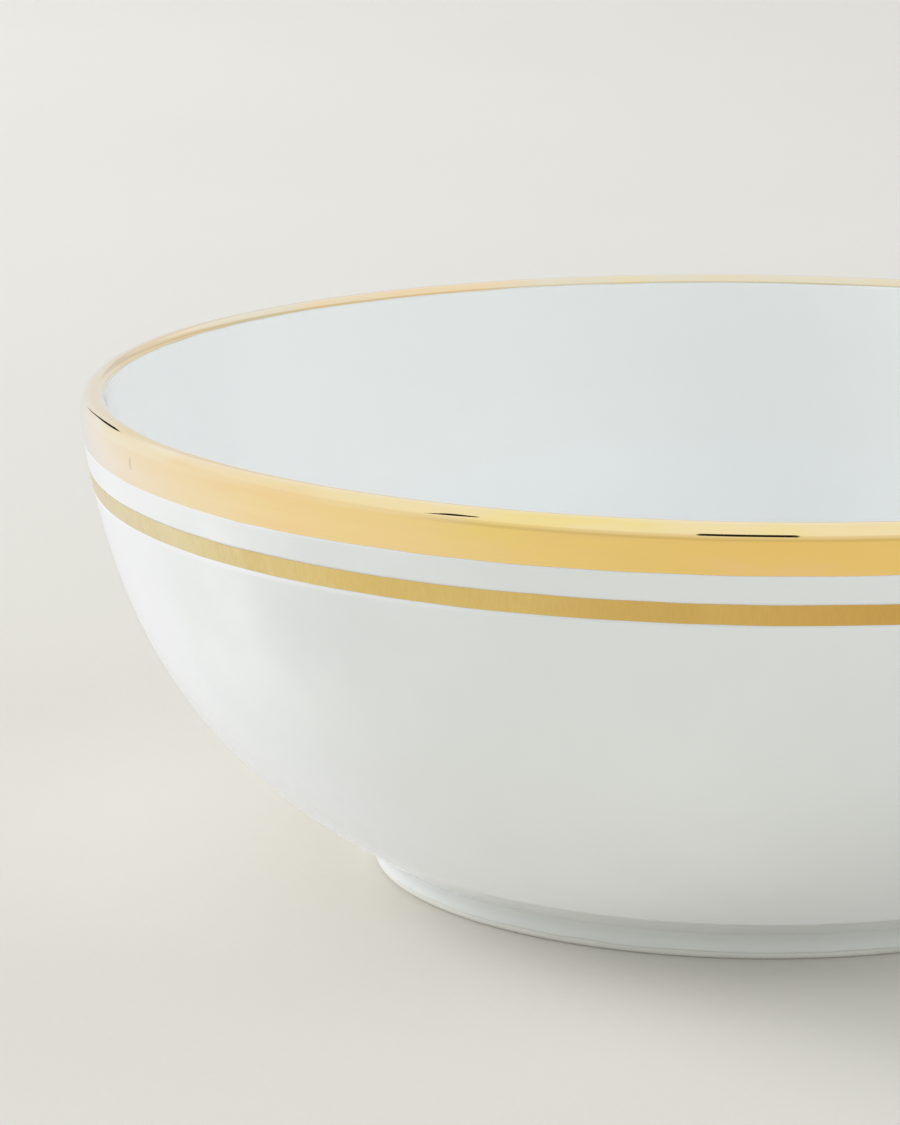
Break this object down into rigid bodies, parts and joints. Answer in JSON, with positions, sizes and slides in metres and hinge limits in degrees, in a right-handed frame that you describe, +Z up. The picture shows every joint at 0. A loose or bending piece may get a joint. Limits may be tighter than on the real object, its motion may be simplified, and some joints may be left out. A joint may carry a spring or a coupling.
{
  "type": "porcelain serving bowl",
  "caption": "Deep round white porcelain serving bowl on a low foot ring, with a gilded lip and a thin gilded band below it.",
  "frame": {"origin": "centre of the foot ring on the table", "axes": "+Z up through the middle of the bowl; +X and +Y level"},
  "size_m": [0.242, 0.242, 0.0875],
  "materials": {
    "fired_porcelain": "bare fired porcelain, matt and very fine grained, seen only on the edge of the foot ring",
    "clear_glaze": "smooth clear glaze over white porcelain, glossy, faintly cool white",
    "base_glaze": "smooth clear glaze over white porcelain, glossy",
    "burnished_gold": "burnished gold film, mirror bright",
    "satin_gold": "satin gold film with fine brush marks"
  },
  "bodies": {
    "root": {"porcelain_body": "fired_porcelain", "glaze_coat": "clear_glaze", "base_glaze": "base_glaze", "rim_gilding": "burnished_gold", "thin_gilded_band": "satin_gold"}
  },
  "joints": []
}
